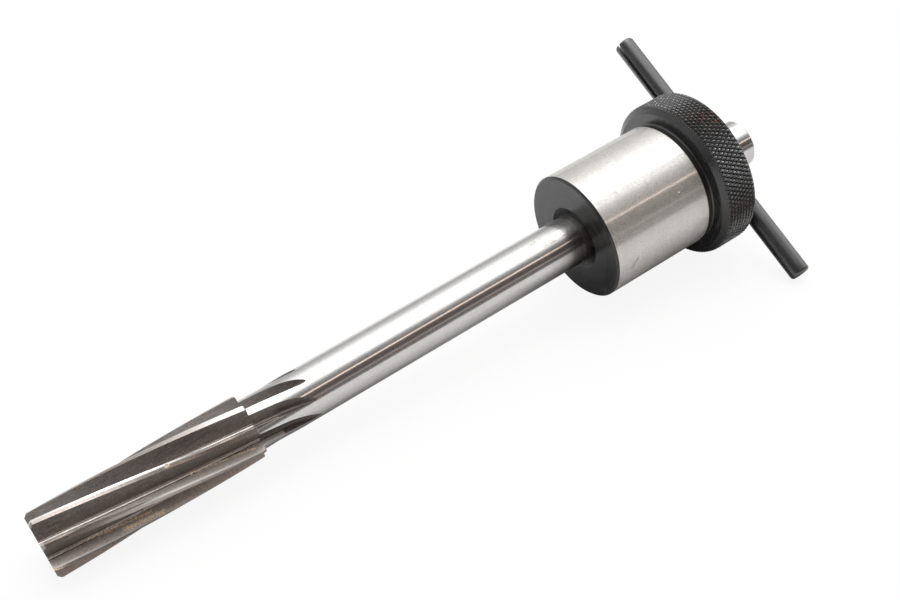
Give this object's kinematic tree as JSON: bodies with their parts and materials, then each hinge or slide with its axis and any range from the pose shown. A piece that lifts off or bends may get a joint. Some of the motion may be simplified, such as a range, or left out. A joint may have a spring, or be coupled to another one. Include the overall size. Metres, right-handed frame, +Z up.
{
  "type": "bushing reamer",
  "caption": "Hand reamer with right-hand helical flutes, a long ground shank, a sliding knurled pilot bush and a spring pin as its turning bar.",
  "frame": {"origin": "on the table, under the middle of the tool as it lies", "axes": "+Z up from the table, +X from the cutter towards the handle end; the tool's own axis lies in the XZ plane and rises 4.3 degrees towards the handle, because the tool rests on its flange and its cutter"},
  "size_m": [0.1858, 0.0633, 0.0415],
  "materials": {
    "ground_steel": "satin",
    "blackened_bush": "satin",
    "blackened_pin": "satin"
  },
  "bodies": {
    "tool": {"reamer": "ground_steel", "cross_pin": "blackened_pin"},
    "pilot": {"pilot_bush": "blackened_bush"}
  },
  "joints": [
    {"name": "pilot_slide", "type": "slide", "parent": "tool", "child": "pilot", "axis": [-0.9972, 0, -0.0754], "range_m": [-0.001, 0.086]}
  ]
}
